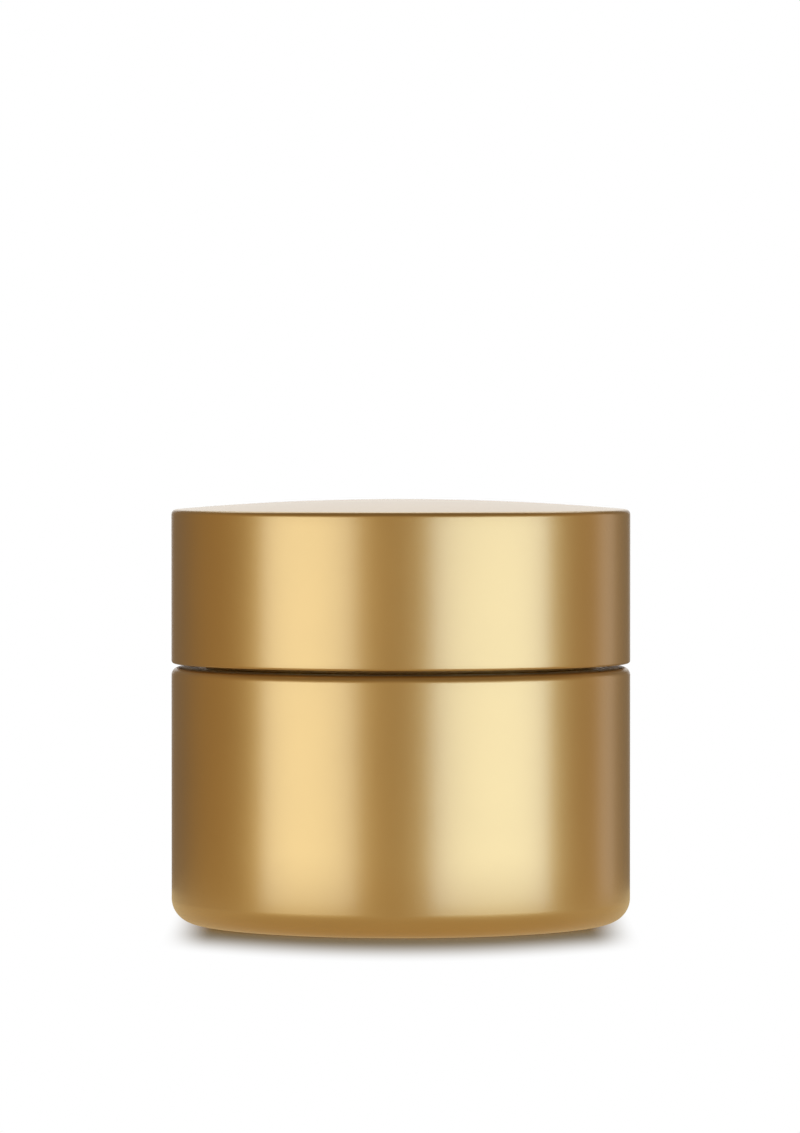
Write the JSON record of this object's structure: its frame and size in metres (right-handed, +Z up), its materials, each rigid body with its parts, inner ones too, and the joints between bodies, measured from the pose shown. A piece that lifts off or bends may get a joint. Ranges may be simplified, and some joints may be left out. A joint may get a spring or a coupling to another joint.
{
  "type": "cosmetic cream jar",
  "caption": "Round double-walled cream jar with a satin gold metal shell, a stamped base and a tall screw lid over a sealed inner cup of cream.",
  "frame": {"origin": "centre of the ring that the jar stands on, on the jar's axis", "axes": "+Z up along the jar's axis, -Y towards the front, +X to the right seen from the front; the jar is round, so the front is only a choice"},
  "size_m": [0.06, 0.06, 0.0553],
  "materials": {
    "satin_gold": "fine satin, gold anodised",
    "bright_gold": "semi-bright, gold anodised",
    "zinc_steel": "zinc plated",
    "white_abs": "moulded, semi-matte",
    "white_pp": "moulded, gloss",
    "pe_foam": "fine closed-cell foam",
    "clear_pe": "natural translucent, frosted",
    "cream": "soft gloss"
  },
  "bodies": {
    "jar": {"jar_shell": "satin_gold", "neck_core": "white_abs", "neck_collar": "bright_gold", "inner_cup": "white_pp", "base_weight": "zinc_steel", "cream": "cream"},
    "liner": {"lid_liner": "pe_foam"},
    "lid": {"lid_shell": "satin_gold", "lid_weight": "zinc_steel", "lid_core": "white_abs", "lid_insert": "white_pp"},
    "disc": {"seal_disc": "clear_pe"}
  },
  "joints": [
    {"name": "lid_lift", "type": "slide", "parent": "jar", "child": "liner", "axis": [0, 0, 1], "range_m": [0, 0.0401]},
    {"name": "lid_turn", "type": "hinge", "parent": "liner", "child": "lid", "pos_m": [0, 0, 0.0339], "axis": [0, 0, 1], "range_deg": [0, 1800]},
    {"name": "disc_lift", "type": "slide", "parent": "jar", "child": "disc", "axis": [0, 0, 1], "range_m": [0, 0.02005]}
  ],
  "couplings": [
    {"joint": "lid_lift", "follows": "lid_turn", "m_per_rad": 0.0012732},
    {"joint": "disc_lift", "follows": "lid_turn", "m_per_rad": 0.00063662}
  ]
}
